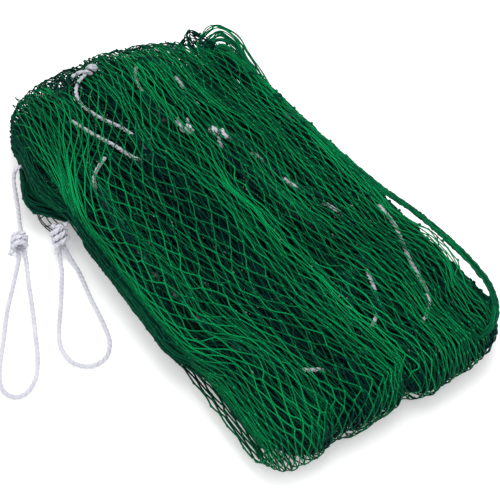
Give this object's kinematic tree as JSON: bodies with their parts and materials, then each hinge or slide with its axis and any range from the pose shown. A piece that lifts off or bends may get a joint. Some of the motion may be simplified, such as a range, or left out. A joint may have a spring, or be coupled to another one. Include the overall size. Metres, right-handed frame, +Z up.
{
  "type": "folded safety net",
  "caption": "Folded pad of green fine-mesh twine netting with a white border rope and knotted eye loops; it opens in half and its free eye loops lift off the floor.",
  "frame": {"origin": "middle of the folded pad's underside, on the surface it lies on", "axes": "+X along the pad's length to the end where it is folded in half, +Y across the pad away from the two free eye loops, +Z up"},
  "size_m": [0.7392, 0.6158, 0.0884],
  "materials": {
    "netting": "twisted polyethylene twine, satin",
    "rope": "three-strand laid rope, satin"
  },
  "bodies": {
    "lower_half": {"netting_lap_01": "netting", "netting_lap_02": "netting", "netting_lap_03": "netting", "netting_lap_04": "netting", "netting_lap_05": "netting", "netting_lap_06": "netting", "border_rope_middle": "rope", "tie_hitch_1": "rope", "tie_hitch_2": "rope"},
    "upper_half": {"netting_lap_07": "netting", "netting_lap_08": "netting", "netting_lap_09": "netting", "netting_lap_10": "netting", "netting_lap_11": "netting", "netting_lap_12": "netting", "border_rope_top": "rope", "packed_loop_3": "rope", "packed_loop_4": "rope", "packed_loop_5": "rope", "packed_loop_6": "rope", "packed_knot_3": "rope", "packed_knot_4": "rope", "packed_knot_5": "rope", "packed_knot_6": "rope"},
    "eye_loop_1": {"tie_loop_1": "rope", "tie_knot_1": "rope"},
    "eye_loop_2": {"tie_loop_2": "rope", "tie_knot_2": "rope"}
  },
  "joints": [
    {"name": "half_fold", "type": "hinge", "parent": "lower_half", "child": "upper_half", "pos_m": [0.37, 0, 0.0442], "axis": [0, 1, 0], "range_deg": [0, 180]},
    {"name": "eye_loop_1_lift", "type": "hinge", "parent": "lower_half", "child": "eye_loop_1", "pos_m": [-0.268, -0.206, 0.0407], "axis": [-1, 0, 0], "range_deg": [0, 90]},
    {"name": "eye_loop_2_lift", "type": "hinge", "parent": "lower_half", "child": "eye_loop_2", "pos_m": [-0.135, -0.208, 0.0407], "axis": [-1, 0, 0], "range_deg": [0, 90]}
  ]
}
